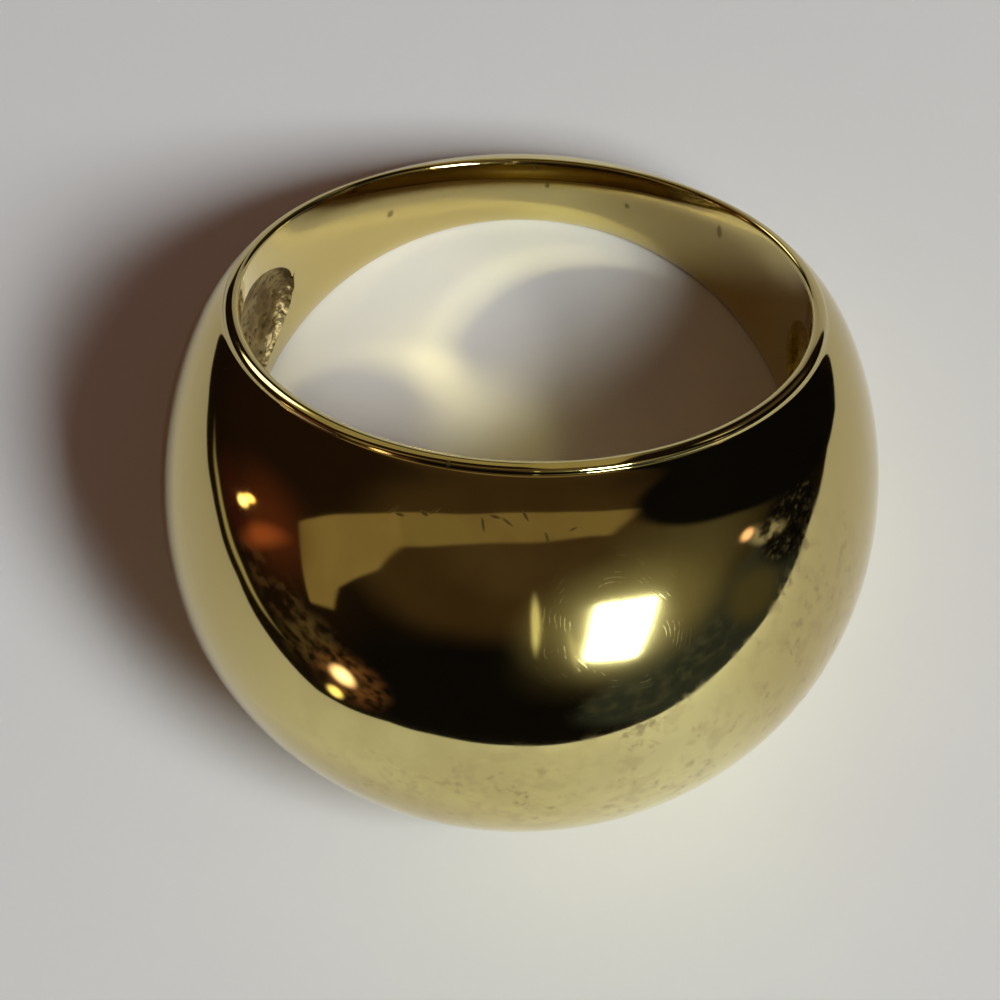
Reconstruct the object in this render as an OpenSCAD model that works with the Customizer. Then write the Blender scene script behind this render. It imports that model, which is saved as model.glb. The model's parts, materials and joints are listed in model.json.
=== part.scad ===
// Dome ring cast in one piece, lying on the flat lower rim of its band.
// X runs across the finger hole, -Y towards the dome, Z up from the table, in mm.
// The finger hole's axis leans back from the dome, square to the ring's middle plane,
// and the two rims are flat planes that open towards the dome and close at the back.

/* [Finger hole] */
// Bore radius, half of the ring's inside diameter
bore_radius = 8.75; // [7:0.05:11]

/* [Band and rims] */
// Width of the band at the middle of the dome
dome_width = 13.55; // [8:0.05:18]
// Width of the band at the back of the finger
back_width = 2.98; // [1.5:0.05:6]
// Flat left around the bore on each rim
rim_flat = 0.55; // [0.2:0.01:1]
// Rounding of each rim's outer corner
rim_round = 0.03; // [0.02:0.01:0.4]

/* [Dome] */
// Height of the dome's crown above the bore
crown_height = 6.82; // [3:0.02:9]
// Thickness of the shoulders, beside the finger
side_height = 2.05; // [1:0.02:4]
// Thickness of the band at the back
back_height = 1.7; // [1:0.02:3]
// Fullness of the slope between the crown and the shoulders
slope_fullness = 0.116; // [-0.3:0.002:0.5]
// Half arc that the section follows on the dome, in degrees
dome_arc = 83; // [60:0.5:88]
// Half arc that the section follows at the back, in degrees
back_arc = 57; // [30:0.5:85]

/* [Hollow under the dome] */
// Metal left over the hollow
wall = 1; // [0.6:0.02:2]
// Metal left between the hollow's mouth and each rim
lip = 1; // [0.5:0.02:2]
// Angle from the crown to the hollow's left end, in degrees
hollow_left = 119.5; // [60:0.1:130]
// Angle from the crown to the hollow's right end, in degrees
hollow_right = 104.5; // [60:0.1:130]
// Angle over which each end of the mouth rounds off, in degrees
end_round = 22; // [5:0.5:40]
// Half arc that the hollow's section follows, in degrees
hollow_arc = 80; // [60:0.5:88]

/* [Hidden] */
gold = [0.78, 0.64, 0.36];

stations = 108;
arc_steps = 26;
corner_steps = 2;
hollow_stations = 46;
hollow_steps = 14;

// Half widths: mean, and what the opening rims add towards the dome.
half_mean = (dome_width + back_width) / 4;
half_add = (dome_width - back_width) / 4;
lean = atan(half_add / bore_radius);

// Height of the metal over the bore around the ring, as a sum of cosines.
h_mean = (crown_height + back_height + 2 * side_height) / 4;
h_two = (crown_height + back_height - 2 * side_height) / 4;
h_one = (crown_height - back_height) / 2 - slope_fullness;

function height(t) = h_mean + h_one * cos(t) + h_two * cos(2 * t) + slope_fullness * cos(3 * t);

// Distance of a rim's plane from the middle plane, at radius r and angle t.
function rim(r, t) = half_mean + half_add * r * cos(t) / bore_radius;

function arc_of(t) = back_arc + (dome_arc - back_arc) * (1 + cos(t)) / 2;

// A point of the ring's own frame, laid on the table.
function laid(r, t, a) = [
    r * sin(t),
    a * sin(lean) - r * cos(t) * cos(lean),
    r * cos(t) * sin(lean) + (a + half_mean) * cos(lean)
];

rim_edge = bore_radius + rim_flat;

// Half of the blank's section at angle t, from the rim's flat to the crown line.
function corner(t) = [for (k = [0 : corner_steps - 1])
    let (b = 90 * k / corner_steps, r = rim_edge - rim_round * (1 - sin(b)))
    [r, rim(r, t) - rim_round * (1 - cos(b))]];

function flank(t) = let (m = arc_of(t), h = rim(rim_edge, t) - rim_round)
    [for (k = [0 : arc_steps / 2])
        let (f = m * (1 - 2 * k / arc_steps))
        [rim_edge + (height(t) - rim_flat) * (cos(f) - cos(m)) / (1 - cos(m)),
         h * sin(f) / sin(m)]];

function half_section(t) = concat(corner(t), flank(t));

// The whole section, from the lower rim to the upper.
function section(t) = let (s = half_section(t), n = len(s))
    concat([for (p = s) [p[0], -p[1]]], [for (k = [n - 2 : -1 : 0]) s[k]]);

row = len(section(0));
blank_points = [for (i = [0 : stations - 1])
    let (t = 360 * i / stations) for (p = section(t)) laid(p[0], t, p[1])];

blank_faces = concat(
    [for (i = [0 : stations - 1], j = [0 : row - 2])
        let (a = i * row + j, b = ((i + 1) % stations) * row + j) each [[a, a + 1, b + 1], [a, b + 1, b]]],
    [[for (i = [0 : stations - 1]) i * row]],
    [[for (i = [stations - 1 : -1 : 0]) i * row + row - 1]]);

ys = [for (p = blank_points) p[1]];
back_shift = -(min(ys) + max(ys)) / 2;

// How full the hollow is at angle t: 1 along the dome, falling to 0 at its ends.
function along(t) = let (e = t < 0 ? hollow_left : hollow_right)
    max(0, (abs(t) - e + end_round) / end_round);

function mouth(t) = max(0.1, pow(max(0, 1 - pow(along(t), 2.2)), 1 / 2.2));

function depth(t) = pow(max(0, 1 - pow(along(t), 5)), 1 / 5);

// The scoop's section starts inside the finger hole, so that it cuts the bore's wall cleanly.
inner = bore_radius - 0.15;
// How far the middle of each end runs ahead of its sides, in degrees.
prow = 1.6;

function arc_angle(k) = hollow_arc * (2 * k / hollow_steps - 1);

function hollow_section(t, w) = let (b = (rim(bore_radius, t) - lip) * mouth(t),
    d = (height(t) - wall + bore_radius - inner) * depth(t))
    concat([[inner - 1, -b, t - prow * w]],
        [for (k = [0 : hollow_steps]) let (f = arc_angle(k))
            [inner + d * (cos(f) - cos(hollow_arc)) / (1 - cos(hollow_arc)),
             b * sin(f) / sin(hollow_arc),
             t - prow * w * abs(sin(f))]],
        [[inner - 1, b, t - prow * w]]);

// Stations close up towards the two ends, where the mouth rounds off.
function spread(i) = -cos(180 * i / (hollow_stations - 1));

hollow_middle = (hollow_right - hollow_left) / 2;
hollow_reach = (hollow_right + hollow_left) / 2;

hollow_row = hollow_steps + 3;
hollow_points = [for (i = [0 : hollow_stations - 1]) let (w = spread(i))
    for (p = hollow_section(hollow_middle + hollow_reach * w, w)) laid(p[0], p[2], p[1])];

hollow_faces = concat(
    [for (i = [0 : hollow_stations - 2], j = [0 : hollow_row - 1])
        let (a = i * hollow_row + j, b = i * hollow_row + (j + 1) % hollow_row)
        each [[a, b, b + hollow_row], [a, b + hollow_row, a + hollow_row]]],
    [[for (j = [hollow_row - 1 : -1 : 0]) j]],
    [[for (j = [0 : hollow_row - 1]) (hollow_stations - 1) * hollow_row + j]]);

// The solid ring before it is pierced, closed by its two flat rims.
module blank() {
    polyhedron(points = blank_points, faces = blank_faces, convexity = 4);
}

// The finger hole, a true cylinder square to the middle plane. The cylinder's seam stands on
// the full wall at the back, half way between the middle of the back and the hollow's left end.
module finger_hole() {
    translate([0, 0, half_mean * cos(lean)]) rotate([-lean, 0, 0]) rotate([0, 0, 120])
        cylinder(r = bore_radius, h = 2 * dome_width, center = true);
}

// The scoop that lightens the dome, open to the finger hole.
module hollow() {
    polyhedron(points = hollow_points, faces = hollow_faces, convexity = 4);
}

module ring() {
    color(gold) translate([0, back_shift, 0]) difference() {
        blank();
        finger_hole();
        hollow();
    }
}

ring();
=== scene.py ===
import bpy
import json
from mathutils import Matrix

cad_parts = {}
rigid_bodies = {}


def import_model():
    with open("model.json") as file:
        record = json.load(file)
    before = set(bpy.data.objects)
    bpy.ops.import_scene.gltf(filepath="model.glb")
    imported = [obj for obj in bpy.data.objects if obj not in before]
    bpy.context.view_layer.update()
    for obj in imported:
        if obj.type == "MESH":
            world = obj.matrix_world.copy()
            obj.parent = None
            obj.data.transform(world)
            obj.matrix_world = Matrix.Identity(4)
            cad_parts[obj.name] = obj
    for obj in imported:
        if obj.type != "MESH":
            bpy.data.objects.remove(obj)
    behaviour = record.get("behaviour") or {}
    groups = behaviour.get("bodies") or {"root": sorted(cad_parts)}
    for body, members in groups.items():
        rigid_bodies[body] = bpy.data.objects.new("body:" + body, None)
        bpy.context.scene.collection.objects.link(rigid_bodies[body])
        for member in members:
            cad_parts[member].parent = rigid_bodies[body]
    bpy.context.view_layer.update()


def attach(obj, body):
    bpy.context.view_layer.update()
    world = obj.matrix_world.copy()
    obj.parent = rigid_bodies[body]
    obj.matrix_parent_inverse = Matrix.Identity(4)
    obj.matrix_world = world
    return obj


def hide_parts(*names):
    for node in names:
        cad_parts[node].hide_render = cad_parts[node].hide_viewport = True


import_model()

import json
import math

import bmesh
import bpy
from mathutils import Matrix, Vector

bpy.ops.object.select_all(action="DESELECT")

# The ring is one casting in yellow gold: a narrow band behind the finger that swells into
# a high, smooth dome over it. Both rims are flat planes that open towards the dome. Their edges
# are worn round, most of all inside the finger hole at the back. It is modelled in millimetres,
# upright on the finger hole's axis, with the crown of the dome towards -Y.
bore = 8.75
crown_width = 13.55
back_width = 2.98
rim_flat = 0.55
crown_height = 6.82
side_height = 2.05
back_height = 1.7
slope_fullness = 0.116
dome_arc = 83
back_arc = 57
flank_foot = 0.24
rim_middle = 9.02
stations = 72
arc_steps = 28
bore_cuts = 5
half_mean = (crown_width + back_width) / 4
half_open = (crown_width - back_width) / 4
lean = math.atan(half_open / bore)
rim_edge = bore + rim_flat


def height(turn):
    """Metal over the finger hole at an angle from the crown, in degrees."""
    mean = (crown_height + back_height + 2 * side_height) / 4
    twice = (crown_height + back_height - 2 * side_height) / 4
    once = (crown_height - back_height) / 2 - slope_fullness
    t = math.radians(turn)
    return (mean + once * math.cos(t) + twice * math.cos(2 * t)
            + slope_fullness * math.cos(3 * t))


def rim(radius, turn):
    """Distance of a rim's plane from the ring's middle plane."""
    return half_mean + half_open * radius * math.cos(math.radians(turn)) / bore


def add_arc(foot, rise, reach, half_arc, steps, turn):
    """One cross arc: it stands on a radius, rises and reaches out to both sides."""
    m = math.radians(half_arc)
    bpy.ops.mesh.select_all(action="DESELECT")
    start = (math.cos(m), 0, -math.sin(m))
    bpy.ops.mesh.primitive_plane_add(size=0.1, location=start)
    bpy.ops.mesh.merge(type="CENTER")
    bpy.ops.mesh.spin(steps=steps, angle=2 * m, center=(0, 0, 0), axis=(0, 1, 0))
    bpy.ops.mesh.select_linked()
    bpy.ops.transform.translate(value=(-math.cos(m), 0, 0))
    scale = (rise / (1 - math.cos(m)), 1, reach / math.sin(m))
    bpy.ops.transform.resize(value=scale, center_override=(0, 0, 0))
    bpy.ops.transform.translate(value=(foot, 0, 0))
    bpy.ops.transform.rotate(value=math.radians(90 - turn), orient_axis="Z",
                             center_override=(0, 0, 0))


def empty_piece(name):
    """A new object in edit mode, with nothing in it yet."""
    bpy.ops.object.select_all(action="DESELECT")
    bpy.ops.mesh.primitive_plane_add(size=0.1)
    piece = bpy.context.object
    piece.name = name
    bpy.ops.object.mode_set(mode="EDIT")
    bpy.ops.mesh.select_mode(type="VERT")
    bpy.ops.mesh.delete(type="VERT")
    return piece


def select_edges(piece, test, open_only=False):
    """Selects the edges, or the open ones alone, whose two ends both pass the test."""
    bpy.ops.mesh.select_mode(type="EDGE")
    bpy.ops.mesh.select_all(action="DESELECT")
    mesh = bmesh.from_edit_mesh(piece.data)
    for edge in mesh.edges:
        if edge.is_boundary or not open_only:
            edge.select_set(all(test(v.co) for v in edge.verts))
    mesh.select_flush_mode()
    bmesh.update_edit_mesh(piece.data)


ring = empty_piece("dome_ring")
for i in range(stations):
    turn = 360 * i / stations
    half_arc = back_arc + (dome_arc - back_arc) * (1 + math.cos(math.radians(turn))) / 2
    add_arc(rim_edge, height(turn) - rim_flat, rim(rim_edge, turn) - flank_foot, half_arc,
            arc_steps, turn)
bpy.ops.mesh.select_all(action="SELECT")
bpy.ops.mesh.bridge_edge_loops(type="CLOSED")

# The dome ends in a low upright foot. The flat rims and the finger hole's wall follow inwards.
for side in (1, -1):
    select_edges(ring, lambda point: point.z * side > 0, open_only=True)
    bpy.ops.mesh.extrude_edges_move()
    bpy.ops.transform.translate(value=(0, 0, side * flank_foot))
    radius = rim_edge
    for inner in (rim_middle, bore):
        bpy.ops.mesh.extrude_edges_move()
        bpy.ops.transform.resize(value=(inner / radius,) * 3,
                                 center_override=(0, 0, side * half_mean))
        radius = inner
bpy.ops.mesh.select_all(action="SELECT")
bpy.ops.mesh.region_to_loop()
bpy.ops.mesh.bridge_edge_loops(number_cuts=bore_cuts, interpolation="LINEAR")
bpy.ops.mesh.select_all(action="SELECT")
bpy.ops.mesh.normals_make_consistent(inside=False)
bpy.ops.object.mode_set(mode="OBJECT")


def on_rim(point, radius):
    """True on the circle of that radius in either rim's plane."""
    plane = half_mean - half_open * point.y / bore
    near_plane = abs(abs(point.z) - plane) < 0.01
    return abs(math.hypot(point.x, point.y) - radius) < 0.01 and near_plane


def backward(point):
    """0 at the dome, 1 at the back of the ring."""
    return (1 + point.y / math.hypot(point.x, point.y)) / 2


# How far each rim's edges are worn back, in millimetres.
outer_wear = 0.12
inner_wear = 0.14
inner_wear_behind = 0.11
wear = ring.data.attributes.new("bevel_weight_edge", "FLOAT", "EDGE")
for edge in ring.data.edges:
    ends = [ring.data.vertices[v].co for v in edge.vertices]
    if all(on_rim(point, rim_edge) for point in ends):
        wear.data[edge.index].value = outer_wear
    elif all(on_rim(point, bore) for point in ends):
        share = backward(ends[0])
        wear.data[edge.index].value = inner_wear + (inner_wear_behind - inner_wear) * share

# At the back the inside of the band rounds off towards both rims, for comfort.
# Towards the dome the rims fall off a little to the outside.
rim_fall = 0.075
flare = 0.30
flare_reach = 1.1
for vertex in ring.data.vertices:
    point = vertex.co
    radius = math.hypot(point.x, point.y)
    below = half_mean - half_open * point.y / bore - abs(point.z)
    if on_rim(point, rim_middle):
        opening = 0.5 * flare * backward(point) ** 2
        point.x *= 1 + opening / radius
        point.y *= 1 + opening / radius
        point.z = math.copysign(half_mean - half_open * point.y / bore, point.z)
    elif on_rim(point, rim_edge):
        point.z *= 1 - rim_fall * (1 - backward(point) ** 2) / abs(point.z)
    elif abs(radius - bore) < 0.02 and below < flare_reach:
        opening = flare * backward(point) ** 2 * (1 - below / flare_reach) ** 2
        point.x *= 1 + opening / radius
        point.y *= 1 + opening / radius
        if below < 0.01:
            point.z = math.copysign(half_mean - half_open * point.y / bore, point.z)

bpy.ops.object.modifier_add(type="BEVEL")
bevel = ring.modifiers[-1]
bevel.limit_method = "WEIGHT"
bevel.width = 1
bevel.segments = 3
bevel.use_clamp_overlap = False
bpy.ops.object.modifier_apply(modifier=bevel.name)

# Smoothing draws the ring in a little, so it is first made larger by as much.
bpy.ops.object.mode_set(mode="EDIT")
bpy.ops.mesh.select_all(action="SELECT")
smoothing_loss = (2 + math.cos(2 * math.pi / stations)) / 3
bpy.ops.transform.resize(value=(1 / smoothing_loss, 1 / smoothing_loss, 1),
                         center_override=(0, 0, 0))


def smooth(piece):
    """Leaves edit mode and rounds the whole mesh."""
    bpy.ops.object.mode_set(mode="OBJECT")
    bpy.ops.object.modifier_add(type="SUBSURF")
    piece.modifiers[-1].levels = 2
    piece.modifiers[-1].render_levels = 2
    bpy.ops.object.modifier_apply(modifier=piece.modifiers[-1].name)


smooth(ring)

# The scoop under the dome, which keeps the casting light. It opens into the finger hole with
# a softly rounded mouth, follows the dome a millimetre below its surface, and stays rough as cast.
dome_wall = 1.0
mouth_lip = 1.0
left_end = 120.6
right_end = 107.8
end_round = 22
scoop_arc = 80
scoop_stations = 46
scoop_steps = 12
mouth_round = 0.12


def scoop_fullness(turn, power):
    """1 along the dome, falling to 0 at the scoop's two ends."""
    end = left_end if turn < 0 else right_end
    along = max(0, (abs(turn) - end + end_round) / end_round)
    return max(0, 1 - along ** power) ** (1 / power)


scoop = empty_piece("scoop")
foot = bore + mouth_round
for i in range(scoop_stations):
    swing = -math.cos(math.pi * i / (scoop_stations - 1))
    turn = (right_end - left_end) / 2 + (right_end + left_end) / 2 * swing
    reach = (rim(bore, turn) - mouth_lip) * max(0.06, scoop_fullness(turn, 2.2))
    rise = (height(turn) - dome_wall - mouth_round) * max(0.05, scoop_fullness(turn, 5))
    add_arc(foot, rise, reach, scoop_arc, scoop_steps, turn)
bpy.ops.mesh.select_all(action="SELECT")
bpy.ops.mesh.bridge_edge_loops(type="SINGLE")
bpy.ops.mesh.normals_make_consistent(inside=False)
bpy.ops.mesh.select_all(action="SELECT")
bpy.ops.mesh.region_to_loop()
for radius, widening in ((bore + 0.04, 0.02), (bore - 0.06, 0.1), (bore - 1, 0)):
    bpy.ops.mesh.extrude_edges_move()
    bpy.ops.transform.resize(value=(radius / foot, radius / foot, 1), center_override=(0, 0, 0))
    bpy.ops.transform.shrink_fatten(value=widening)
    foot = radius
select_edges(scoop, lambda point: abs(point.z) > 0.03, open_only=True)
bpy.ops.mesh.bridge_edge_loops(number_cuts=3, interpolation="LINEAR")
bpy.ops.mesh.select_all(action="SELECT")
bpy.ops.mesh.fill_holes(sides=0)
bpy.ops.mesh.select_all(action="SELECT")
bpy.ops.mesh.normals_make_consistent(inside=False)
smooth(scoop)
bpy.ops.object.select_all(action="DESELECT")
bpy.context.view_layer.objects.active = ring
ring.select_set(True)


def shader_node(tree, kind, settings=None, **inputs):
    """Adds a node. Settings are its own options, inputs are values or other nodes' outputs."""
    node = tree.nodes.new("ShaderNode" + kind)
    for name, value in (settings or {}).items():
        setattr(node, name, value)
    for name, value in inputs.items():
        socket = node.inputs[int(name[1:])] if name[1:].isdigit() else node.inputs[name]
        if isinstance(value, bpy.types.NodeSocket):
            tree.links.new(value, socket)
        else:
            socket.default_value = value
    return node


def maths(tree, operation, a, b=0.0):
    """One sum on numbers."""
    return shader_node(tree, "Math", {"operation": operation}, _0=a, _1=b).outputs[0]


def fade(tree, value, start, end):
    """Goes smoothly from 0 at start to 1 at end."""
    node = shader_node(tree, "MapRange", {"interpolation_type": "SMOOTHSTEP"}, Value=value)
    node.inputs["From Min"].default_value = start
    node.inputs["From Max"].default_value = end
    return node.outputs["Result"]


def blend_colour(tree, share, a, b):
    """A colour between a and b."""
    node = shader_node(tree, "Mix", {"data_type": "RGBA"}, _0=share, _6=a, _7=b)
    return node.outputs[2]


def new_material(name):
    """A material with its main shader and the place on the piece in millimetres."""
    material = bpy.data.materials.new(name)
    material.use_nodes = True
    tree = material.node_tree
    shader = tree.nodes["Principled BSDF"]
    place = shader_node(tree, "TexCoord").outputs["Object"]
    scaled = shader_node(tree, "Mapping", Vector=place, Scale=(1000, 1000, 1000))
    return material, tree, shader, scaled.outputs[0]


def spot(tree, place, centre, inner, outer):
    """1 within inner of a point, 0 beyond outer, in millimetres."""
    away = shader_node(tree, "VectorMath", {"operation": "DISTANCE"}, _0=place, _1=centre)
    return fade(tree, away.outputs["Value"], outer, inner)


def noise(tree, place, scale, detail=2.0, stretch=None):
    """Soft random patches, so many to the millimetre."""
    if stretch:
        place = shader_node(tree, "Mapping", Vector=place, Scale=stretch).outputs[0]
    return shader_node(tree, "TexNoise", Vector=place, Scale=scale, Detail=detail).outputs[0]


def mark(tree, place, middle, size, turn=0, soft=0.5):
    """1 inside a long or round mark at a point, with its half sizes in millimetres."""
    node = shader_node(tree, "Mapping", {"vector_type": "TEXTURE"}, Vector=place, Scale=size)
    node.inputs["Location"].default_value = middle
    node.inputs["Rotation"].default_value = (0, 0, math.radians(turn))
    length = shader_node(tree, "VectorMath", {"operation": "LENGTH"}, _0=node.outputs[0])
    return fade(tree, length.outputs["Value"], 1 + soft, 1 - soft)


def most(tree, masks):
    """The strongest of several masks."""
    result = masks[0]
    for mask in masks[1:]:
        result = maths(tree, "MAXIMUM", result, mask)
    return result


bore_middle = 2.566


def bore_place(turn, along):
    """A point of the finger hole's wall on the finished ring."""
    t = math.radians(turn)
    return (bore * math.sin(t),
            along * math.sin(lean) - bore * math.cos(t) * math.cos(lean) + bore_middle,
            bore * math.cos(t) * math.sin(lean) + (along + half_mean) * math.cos(lean))


gold, tree, shader, place = new_material("polished_gold")
bright_gold = (0.78, 0.68, 0.28, 1)
# The dull gold serves both the cloudy patches and the painted shade on the flanks and the finger
# hole's wall.
dull_and_shaded_gold = (0.58, 0.465, 0.19, 1)
pale_patch_gold = (0.90, 0.82, 0.42, 1)
tarnish_brown = (0.46, 0.33, 0.15, 1)

# Worn areas of the dome's foot, where brown freckles and mottles sit in the polish.
worn = most(tree, [spot(tree, place, (8.9, -6.6, 7.6), 1.5, 5.0),
                   spot(tree, place, (4.4, -10.9, 7.6), 1.2, 4.2),
                   spot(tree, place, (0.0, -12.4, 7.4), 1.0, 3.6),
                   spot(tree, place, (-3.5, -11.6, 6.6), 0.5, 3.0)])
freckles = fade(tree, noise(tree, place, 2.6, 3.0), 0.48, 0.72)
sparse = fade(tree, noise(tree, place, 0.9, 1.0), 0.47, 0.58)
mottles = fade(tree, noise(tree, place, 1.5, 4.0), 0.47, 0.66)
freckled = most(tree, [maths(tree, "MULTIPLY", freckles, sparse),
                       maths(tree, "MULTIPLY", mottles, 0.45)])
freckled = maths(tree, "MULTIPLY", freckled, worn)

# The polish is cloudy in soft patches, and painted shade makes it darker and duller low on the
# flanks, at the left in front and on the right of the finger hole's wall.
cloud = fade(tree, noise(tree, place, 0.55, 3.0), 0.40, 0.62)
cloudy_and_shaded = maths(tree, "MULTIPLY", cloud, 0.35)
across, _, above = shader_node(tree, "SeparateXYZ", _0=place).outputs
# Painted shade: the flanks, the left in front and the right of the finger hole's wall are
# darkened.
shaded_flanks = fade(tree, maths(tree, "ABSOLUTE", across), 4.5, 9.5)
shaded_right_wall = spot(tree, place, bore_place(138, 0.3), 2.0, 6.5)
shaded_front_left = maths(tree, "MULTIPLY", fade(tree, across, 2.5, -3.0), fade(tree, above, 8.0, 6.5))
cloudy_and_shaded = most(tree, [cloudy_and_shaded, maths(tree, "MULTIPLY", shaded_flanks, 0.9),
                     maths(tree, "MULTIPLY", shaded_front_left, 0.8),
                     maths(tree, "MULTIPLY", shaded_right_wall, 0.9)])
colour = blend_colour(tree, cloudy_and_shaded, bright_gold, dull_and_shaded_gold)
# The gold is paler and brighter in one patch low on the dome's front right.
pale_patch = spot(tree, place, (4.8, -10.7, 6.6), 1.0, 4.5)
colour = blend_colour(tree, maths(tree, "MULTIPLY", pale_patch, 0.6), colour, pale_patch_gold)
colour = blend_colour(tree, maths(tree, "MULTIPLY", freckled, 0.7), colour, tarnish_brown)

# Small dark marks: nicks near the crown, on the front rim and in the finger hole.
nicks = most(tree, [
    mark(tree, place, (-3.50, -5.52, 12.95), (0.17, 0.05, 1.0), 35),
    mark(tree, place, (-3.32, -5.70, 12.96), (0.12, 0.04, 1.0), -20),
    mark(tree, place, (-2.62, -5.68, 13.00), (0.13, 0.05, 1.0), -40),
    mark(tree, place, (-2.30, -5.62, 13.02), (0.16, 0.04, 1.0), 25),
    mark(tree, place, (-0.90, -6.05, 13.15), (0.04, 0.20, 1.0), 10),
    mark(tree, place, (-0.55, -5.80, 13.15), (0.14, 0.04, 1.0), -15),
    mark(tree, place, (-0.20, -5.95, 13.16), (0.18, 0.04, 1.0), -38),
    mark(tree, place, (0.32, -5.75, 13.16), (0.15, 0.04, 1.0), -60),
    mark(tree, place, (0.95, -6.35, 13.14), (0.04, 0.14, 1.0), 20),
    mark(tree, place, (1.70, -6.05, 13.10), (0.12, 0.03, 1.0), 30),
    mark(tree, place, (-1.99, -4.12, 12.92), (0.09, 0.13, 1.0), 10)])
pits = most(tree, [
    mark(tree, place, bore_place(-148.5, 0.28), (0.10, 0.3, 0.13)),
    mark(tree, place, bore_place(176.8, 0.56), (0.07, 0.3, 0.10)),
    mark(tree, place, bore_place(179.7, 1.12), (0.06, 0.3, 0.08)),
    mark(tree, place, bore_place(159.2, 0.33), (0.08, 0.3, 0.10)),
    mark(tree, place, bore_place(136.0, 1.19), (0.08, 0.3, 0.24))])
dark_marks = most(tree, [nicks, pits])
colour = blend_colour(tree, maths(tree, "MULTIPLY", dark_marks, 0.6), colour,
                      (0.10, 0.07, 0.03, 1))
tree.links.new(colour, shader.inputs["Base Color"])
shader.inputs["Metallic"].default_value = 1
polish = shader_node(tree, "MapRange", Value=most(tree, [freckled, dark_marks]))
polish.inputs["To Min"].default_value = 0.055
polish.inputs["To Max"].default_value = 0.32

# Fine rubbed lines curl round the right of the crown, in a slight haze. Elsewhere the polish
# only ripples.
swirl_centre = (3.13, -8.75, 11.95)
away = shader_node(tree, "VectorMath", {"operation": "DISTANCE"}, _0=place,
                   _1=swirl_centre).outputs["Value"]
wander = noise(tree, place, 0.8, 2.0)
phase = maths(tree, "ADD", maths(tree, "MULTIPLY", away, 36), maths(tree, "MULTIPLY", wander, 30))
lines = fade(tree, maths(tree, "SINE", phase), 0.2, 1.0)
broken = fade(tree, noise(tree, place, 1.8, 3.0), 0.38, 0.66)
near = maths(tree, "MULTIPLY", fade(tree, away, 3.8, 1.6), fade(tree, away, 0.9, 1.4))
rubbed = maths(tree, "MULTIPLY", maths(tree, "MULTIPLY", lines, broken), near)
haze = maths(tree, "MULTIPLY", fade(tree, away, 3.6, 1.4), 0.10)
roughness = most(tree, [polish.outputs["Result"], haze, maths(tree, "MULTIPLY", rubbed, 0.17)])
tree.links.new(roughness, shader.inputs["Roughness"])
ripple = noise(tree, place, 0.35, 1.0)
bump = shader_node(tree, "Bump", Height=ripple, Distance=2.0e-5)
tree.links.new(bump.outputs[0], shader.inputs["Normal"])
ring.data.materials.append(gold)

# The scoop keeps the rough skin of the casting, brown at its left end and cleaner under the dome.
cast, tree, shader, place = new_material("rough_cast_gold")
patches = fade(tree, noise(tree, place, 1.5, 5.0), 0.40, 0.60)
specks = fade(tree, noise(tree, place, 4.0, 2.0), 0.56, 0.66)
cast_brown = (0.24, 0.165, 0.070, 1)
cast_olive = (0.44, 0.35, 0.17, 1)
cast_dark = (0.15, 0.100, 0.042, 1)
cast_clean = (0.74, 0.62, 0.29, 1)
colour = blend_colour(tree, patches, cast_brown, cast_olive)
colour = blend_colour(tree, specks, colour, cast_dark)
deep = spot(tree, place, bore_place(-112, 0), 7.5, 4.5)
colour = blend_colour(tree, deep, colour, cast_clean)
tree.links.new(colour, shader.inputs["Base Color"])
shader.inputs["Metallic"].default_value = 1
roughness = shader_node(tree, "MapRange", Value=deep)
roughness.inputs["To Min"].default_value = 0.5
roughness.inputs["To Max"].default_value = 0.3
tree.links.new(roughness.outputs["Result"], shader.inputs["Roughness"])
bump = shader_node(tree, "Bump", Height=noise(tree, place, 2.0, 4.0), Distance=2.2e-4)
tree.links.new(bump.outputs[0], shader.inputs["Normal"])
scoop.data.materials.append(cast)

bpy.ops.object.modifier_add(type="BOOLEAN")
ring.modifiers[-1].operation = "DIFFERENCE"
ring.modifiers[-1].solver = "MANIFOLD"
ring.modifiers[-1].object = scoop
ring.modifiers[-1].material_mode = "TRANSFER"
bpy.ops.object.modifier_apply(modifier=ring.modifiers[-1].name)
bpy.data.objects.remove(scoop)

# The ring lies on its lower rim, so it leans back by half the angle between the rims.
# The piece is then set at the middle of its own length and scaled to metres.
ring.rotation_euler = (-lean, 0, 0)
ring.location = (0, 0, half_mean * math.cos(lean))
bpy.ops.object.transform_apply(location=True, rotation=True, scale=True)
front = min(v.co.y for v in ring.data.vertices)
back = max(v.co.y for v in ring.data.vertices)
metre = 0.001
ring.location = (0, -(front + back) / 2 * metre, 0)
ring.scale = (metre, metre, metre)
bpy.ops.object.transform_apply(location=True, rotation=True, scale=True)
bpy.ops.object.shade_smooth_by_angle(angle=math.radians(30))
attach(ring, "root")
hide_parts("ring")

# The floor is a wide, plain sheet of pale card. The polish mirrors only the part up to these
# corners, near the ring and in a strip behind it, as if the rest lay in the dark of the room.
floor_level = -0.00002
near_corners = ((-0.022, 0.039), (-0.055, 0.031), (-0.068, 0.012), (-0.068, -0.012),
                (-0.049, -0.027), (-0.037, -0.034), (-0.038, -0.046), (-0.046, -0.078),
                (-0.040, -0.110), (0.0, -0.133), (0.040, -0.112), (0.075, -0.092),
                (0.132, -0.077), (0.222, -0.039), (0.291, 0.051), (0.171, 0.062),
                (0.093, 0.049), (0.045, 0.029), (0.030, 0.036), (0.10, 0.60), (-0.08, 0.60),
                (-0.015, 0.06))


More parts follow.
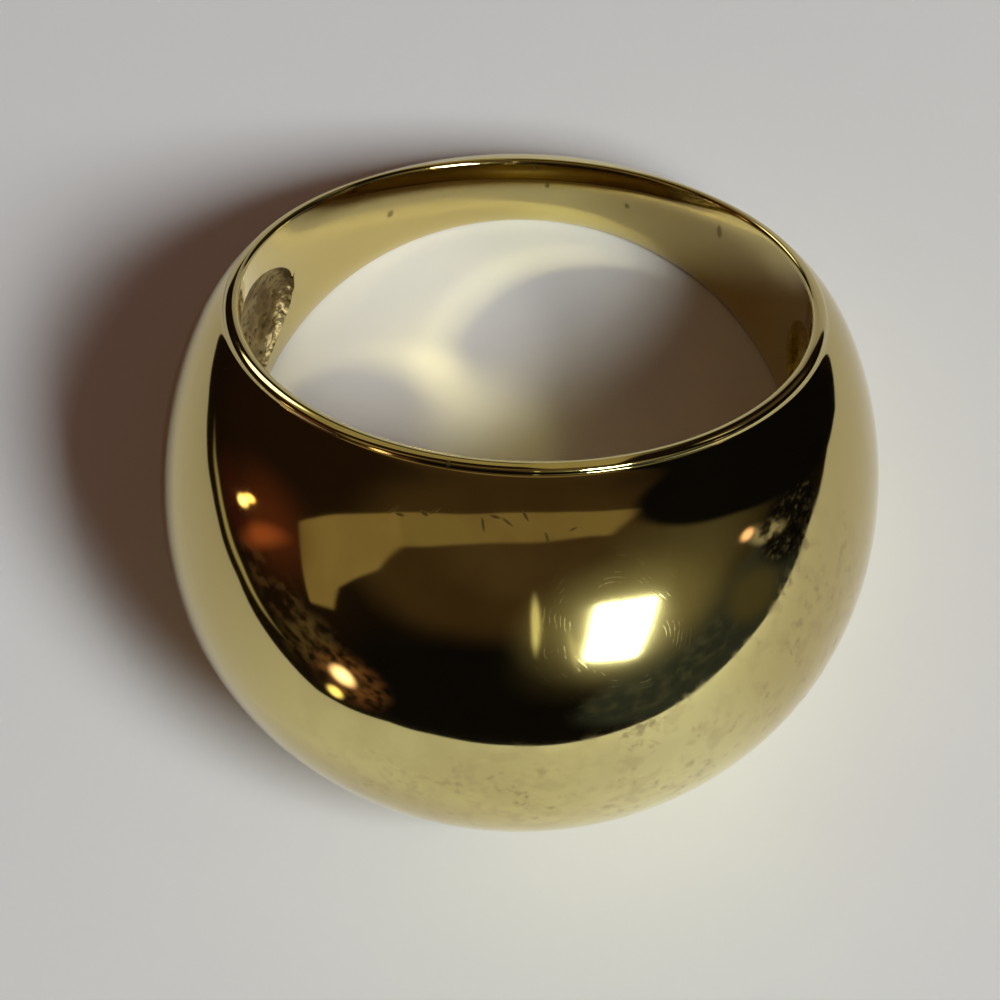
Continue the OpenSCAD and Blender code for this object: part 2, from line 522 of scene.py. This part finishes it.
def corner_ring(name):
    """An object in edit mode with the near corners joined up in a ring of edges."""
    sheet = empty_piece(name)
    for x, y in near_corners:
        bpy.ops.mesh.primitive_plane_add(size=0.001, location=(x, y, floor_level))
        bpy.ops.mesh.merge(type="CENTER")
    mesh = bmesh.from_edit_mesh(sheet.data)
    corners = list(mesh.verts)
    for i in range(len(corners)):
        mesh.edges.new((corners[i - 1], corners[i]))
    bmesh.update_edit_mesh(sheet.data)
    bpy.ops.mesh.select_all(action="SELECT")
    return sheet


floor = corner_ring("floor")
bpy.ops.mesh.edge_face_add()
bpy.ops.mesh.normals_make_consistent(inside=False)
bpy.ops.object.mode_set(mode="OBJECT")
floor_beyond = corner_ring("floor_beyond")
floor_spread = 9
bpy.ops.mesh.extrude_edges_move()
bpy.ops.transform.resize(value=(floor_spread, floor_spread, 1), center_override=(0, 0, 0))
bpy.ops.mesh.select_all(action="SELECT")
bpy.ops.mesh.normals_make_consistent(inside=False)
bpy.ops.object.mode_set(mode="OBJECT")
floor_beyond.visible_glossy = False
paper, tree, shader, place = new_material("pale_card")
shader.inputs["Base Color"].default_value = (0.745, 0.755, 0.765, 1)
shader.inputs["Roughness"].default_value = 0.8
for sheet in (floor, floor_beyond):
    sheet.data.materials.append(paper)


def towards(azimuth, elevation):
    """A direction from the ring. Azimuth 0 is towards the viewer, 90 to the right."""
    a = math.radians(azimuth)
    e = math.radians(elevation)
    return Vector((math.sin(a) * math.cos(e), -math.cos(a) * math.cos(e), math.sin(e)))


# The lamp is one soft studio lamp, high on the right in front.
lamp_distance = 0.55
lamp_way = towards(46.0, 45.2)
lamp_turn = 45.6
bpy.ops.object.light_add(type="AREA", location=lamp_way * lamp_distance)
lamp = bpy.context.object
lamp.name = "lamp"
lamp.data.shape = "RECTANGLE"
lamp.data.size = 0.240
lamp.data.size_y = 0.148
lamp.data.energy = 2.72
lamp.data.color = (0.95, 1.0, 0.99)
slant = math.radians(50)
axis_z = lamp_way.normalized()
side_way = towards(lamp_turn + 90, 0)
up_way = axis_z.cross(side_way).normalized()
axis_x = (side_way * math.cos(slant) + up_way * math.sin(slant)).normalized()
axis_y = axis_z.cross(axis_x).normalized()
lamp.matrix_world = Matrix.Translation(lamp_way * lamp_distance) @ Matrix(
    (axis_x, axis_y, axis_z)).transposed().to_4x4()

# The polish throws two soft pools of light on the card inside the finger hole.
lit_by_pool = bpy.data.collections.new("lit_by_pool")
lit_by_pool.objects.link(floor)
pool_height = 0.05
for x, y, spread, energy, colour in ((-0.0036, 0.0062, 12, 0.019, (1.0, 0.96, 0.92)),
                                     (-0.0011, 0.0028, 6.5, 0.010, (1.0, 0.93, 0.40))):
    bpy.ops.object.light_add(type="SPOT", location=(x, y, pool_height))
    pool = bpy.context.object
    pool.name = "pool"
    pool.data.spot_size = math.radians(spread)
    pool.data.spot_blend = 1.0
    pool.data.shadow_soft_size = 0.0
    pool.data.energy = energy
    pool.data.color = colour
    pool.light_linking.receiver_collection = lit_by_pool
    pool.light_linking.blocker_collection = lit_by_pool

# The room round the lamp is dark and warm, with a few soft cards that the polish mirrors.
world = bpy.data.worlds.new("studio")
bpy.context.scene.world = world
world.use_nodes = True
tree = world.node_tree
sight = shader_node(tree, "TexCoord").outputs["Generated"]
parts = shader_node(tree, "SeparateXYZ", _0=sight).outputs


def card_place(azimuth, elevation, wide, high, slant):
    """The sight line as seen on a card: its edges lie 1 from its middle."""
    node = shader_node(tree, "Mapping", {"vector_type": "TEXTURE"}, Vector=sight)
    node.inputs["Location"].default_value = towards(azimuth, elevation)
    turned = (Matrix.Rotation(math.radians(azimuth), 3, "Z")
              @ Matrix.Rotation(math.radians(90 - elevation), 3, "X")
              @ Matrix.Rotation(math.radians(slant), 3, "Z"))
    node.inputs["Rotation"].default_value = turned.to_euler("XYZ")
    node.inputs["Scale"].default_value = (math.sin(math.radians(wide)),
                                          math.sin(math.radians(high)), 1)
    return node.outputs[0]


def card(room, azimuth, elevation, wide, high, colour, soft=0.2, slant=0):
    """Lays a soft oval card over the room, at its middle and its half angles in degrees."""
    place = card_place(azimuth, elevation, wide, high, slant)
    size = shader_node(tree, "VectorMath", {"operation": "LENGTH"}, _0=place).outputs["Value"]
    return blend_colour(tree, fade(tree, size, 1 + soft, 1 - soft), room, colour)


def panel(room, azimuth, elevation, wide, high, colour, soft=0.05, slant=0):
    """Lays a card with straight sides over the room."""
    place = card_place(azimuth, elevation, wide, high, slant)
    sides = shader_node(tree, "VectorMath", {"operation": "ABSOLUTE"}, _0=place).outputs[0]
    sides = shader_node(tree, "SeparateXYZ", _0=sides).outputs
    size = most(tree, [sides[0], sides[1], sides[2]])
    return blend_colour(tree, fade(tree, size, 1 + soft, 1 - soft), room, colour)


dark = (0.009, 0.0055, 0.004, 1)
brown = (0.045, 0.0265, 0.0140, 1)
black = (0.004, 0.0035, 0.004, 1)
room = blend_colour(tree, fade(tree, parts[2], 0.60, 0.84), dark, brown)
room = card(room, -120, 25, 60, 26, (0.014, 0.007, 0.0045, 1), 0.3)
room = card(room, -5, 20, 48, 34, black, 0.25)
room = blend_colour(tree, fade(tree, parts[2], 0.93, 1.0), room, (0.060, 0.038, 0.022, 1))
room = card(room, 64, 11, 45, 18, (0.026, 0.031, 0.036, 1), 0.12)
# A glow stands round the lamp.
room = card(room, 70, 48, 40, 23, (0.080, 0.066, 0.040, 1), 0.45)
room = card(room, 52, 48, 21, 18, (0.25, 0.22, 0.145, 1), 0.75)

# The ceiling's lit strip, cut out by straight edges as seen on a level ceiling.
ceiling = shader_node(tree, "VectorMath", {"operation": "SCALE"}, _0=sight)
tree.links.new(maths(tree, "DIVIDE", 1.0, maths(tree, "MAXIMUM", parts[2], 0.05)),
               ceiling.inputs["Scale"])


def ceiling_edge(x, y, slope, side, soft):
    """1 on one side of a straight line on the ceiling, through x, y at that slope."""
    way = Vector((-slope, 1, 0)).normalized() * side
    far = shader_node(tree, "VectorMath", {"operation": "DOT_PRODUCT"},
                      _0=ceiling.outputs[0], _1=way).outputs["Value"]
    edge = Vector((x, y, 0)).dot(way)
    return fade(tree, far, edge - soft, edge + soft)


def lit(room, edges, colour):
    """Lays a lit patch of ceiling, inside all of its edges, over the room."""
    mask = edges[0]
    for edge in edges[1:]:
        mask = maths(tree, "MULTIPLY", mask, edge)
    return blend_colour(tree, mask, room, colour)


room = lit(room, [ceiling_edge(-0.7, 0.374, 0.131, -1, 0.01),
                  ceiling_edge(-0.5, 0.09, 0.2, 1, 0.02),
                  ceiling_edge(0.45, 0.45, 2.5, 1, 0.03), ceiling_edge(-0.52, 0, 50, -1, 0.02)],
           (0.185, 0.132, 0.065, 1))
olive = (0.225, 0.160, 0.078, 1)
room = lit(room, [ceiling_edge(-0.7, 0.374, 0.131, -1, 0.01),
                  ceiling_edge(-1.517, 0.267, 1.135, -1, 0.03),
                  ceiling_edge(-0.502, 0.088, 1.14, 1, 0.02),
                  ceiling_edge(-0.711, -0.151, 0.448, 1, 0.02),
                  ceiling_edge(-0.48, 0, 50, 1, 0.02), ceiling_edge(-1.42, 0, 50, -1, 0.02)],
           olive)
room = lit(room, [ceiling_edge(-1.517, 0.267, 1.135, -1, 0.04),
                  ceiling_edge(-1.358, -0.441, 0.92, 1, 0.04),
                  ceiling_edge(-2.58, -0.94, 0.139, 1, 0.06),
                  ceiling_edge(-0.7, 0.374, 0.131, -1, 0.01),
                  ceiling_edge(-1.34, 0, 50, 1, 0.02)], olive)

# Dim clutter stands along the walls, with the glints of small lights in it.
clutter = shader_node(tree, "TexNoise", Vector=sight, Scale=14, Detail=3).outputs[0]
fine = shader_node(tree, "TexNoise", Vector=sight, Scale=34, Detail=2).outputs[0]
front_right = blend_colour(tree, fade(tree, clutter, 0.40, 0.75), room, (0.060, 0.064, 0.058, 1))
room = card(room, 48, 13, 27, 12, front_right, 0.2)
room = card(room, 81, 11, 8, 11, (0.070, 0.060, 0.036, 1), 0.5)
far_right = blend_colour(tree, fade(tree, fine, 0.56, 0.80), black, (0.15, 0.14, 0.12, 1))
room = card(room, 103, 9, 12, 13, far_right, 0.25)
room = card(room, 131, 22, 18, 36, black, 0.06)
far_left = blend_colour(tree, fade(tree, clutter, 0.45, 0.65), room, (0.060, 0.034, 0.022, 1))
room = card(room, -82, 9, 16, 9, far_left, 0.3)
room = card(room, -98, 20, 13, 11, (0.085, 0.022, 0.012, 1), 0.95)
room = card(room, -93, 14, 3.2, 9, (0.34, 0.085, 0.035, 1), 0.8)
room = card(room, -104, 4, 9, 6, (0.040, 0.010, 0.008, 1), 0.8)
room = card(room, -104, 12.8, 1.1, 2.4, (6.0, 3.3, 1.2, 1), 0.6)
room = card(room, -103, 9.2, 1.5, 2.4, (6.0, 3.9, 1.9, 1), 0.6)
near_left = blend_colour(tree, fade(tree, clutter, 0.38, 0.68), room, (0.090, 0.060, 0.034, 1))
room = card(room, -62, 6, 8, 11, near_left, 0.5)
warm = blend_colour(tree, fade(tree, clutter, 0.36, 0.64), room, (0.170, 0.075, 0.040, 1))
room = card(room, -47, 4, 10, 10, warm, 0.5)
room = card(room, -48.5, 3, 3.0, 3.0, (4.5, 3.0, 2.3, 1), 0.8)
room = card(room, -48.3, -7.3, 1.9, 2.3, (2.6, 2.0, 0.9, 1), 0.6)
room = card(room, -94, -4.6, 22, 1.2, (0.40, 0.35, 0.22, 1), 0.4)
pale_clutter = blend_colour(tree, fade(tree, clutter, 0.44, 0.58), room, (0.34, 0.31, 0.27, 1))
room = card(room, 100, 19, 3.6, 7, pale_clutter, 0.4)
room = card(room, 100.3, 27.5, 1.8, 1.9, (2.0, 1.15, 0.9, 1), 0.6)
room = card(room, 13.2, 60, 1.0, 12, (0.80, 0.75, 0.48, 1), 0.5, -8)
room = card(room, 25.5, 45, 0.8, 9, (0.60, 0.56, 0.36, 1), 0.6, -8)
room = card(room, 29.5, 42, 0.5, 6, (0.60, 0.56, 0.36, 1), 0.6, 8)

# Behind the ring stand pale panels and a bright window, seen only in the rims.
pale = (0.30, 0.25, 0.14, 1)
room = panel(room, 190, 17, 14, 11, pale, 0.1)
leaning = panel(room, 179, 15, 4.5, 28, pale, 0.05, 16)
room = blend_colour(tree, fade(tree, parts[0], -0.010, -0.004), room, leaning)
room = card(room, 158, 22, 3.5, 3.4, (0.60, 0.54, 0.38, 1), 0.4)
room = panel(room, 160, 11, 5, 8, (0.070, 0.050, 0.035, 1), 0.3)
room = card(room, -162.5, 8, 5, 5, (5.0, 4.7, 3.6, 1), 0.2)

# The floor takes one even, warm light from the room, and the camera sees a plain backdrop.
seen_by = shader_node(tree, "LightPath").outputs
mirrored = tree.nodes["Background"]
tree.links.new(room, mirrored.inputs["Color"])
even = shader_node(tree, "Background", Color=(0.109, 0.058, 0.043, 1))
backdrop = shader_node(tree, "Background", Color=(0.50, 0.50, 0.47, 1))
light = shader_node(tree, "MixShader", Fac=seen_by["Is Diffuse Ray"], _1=mirrored.outputs[0],
                    _2=even.outputs[0])
light = shader_node(tree, "MixShader", Fac=seen_by["Is Camera Ray"], _1=light.outputs[0],
                    _2=backdrop.outputs[0])
tree.links.new(light.outputs[0], tree.nodes["World Output"].inputs["Surface"])
world.cycles.sampling_method = "NONE"

# The camera looks down on the ring from the front, as the photograph does.
camera_data = bpy.data.cameras.new("camera")
camera = bpy.data.objects.new("camera", camera_data)
bpy.context.scene.collection.objects.link(camera)
bpy.context.scene.camera = camera
camera_azimuth = 1.81
camera_elevation = 65.67
camera_roll = 0.53
camera_distance = 0.140
target = Vector((-0.00056, -0.001574, 0.005))
camera_way = towards(camera_azimuth, camera_elevation)
turned = Matrix.Rotation(math.radians(camera_azimuth), 4, "Z")
tilted = Matrix.Rotation(math.radians(90 - camera_elevation), 4, "X")
rolled = Matrix.Rotation(math.radians(camera_roll), 4, "Z")
stand = Matrix.Translation(target + camera_way * camera_distance)
camera.matrix_world = stand @ turned @ tilted @ rolled
camera_data.sensor_width = 36
camera_data.lens = 163.35
camera_data.clip_start = 0.01
bpy.context.scene.view_settings.view_transform = "Standard"

# Light that the gold throws on the floor stays as sharp as the polish makes it.
bpy.context.scene.cycles.blur_glossy = 0
bpy.context.scene.cycles.max_bounces = 5
bpy.context.scene.cycles.diffuse_bounces = 2
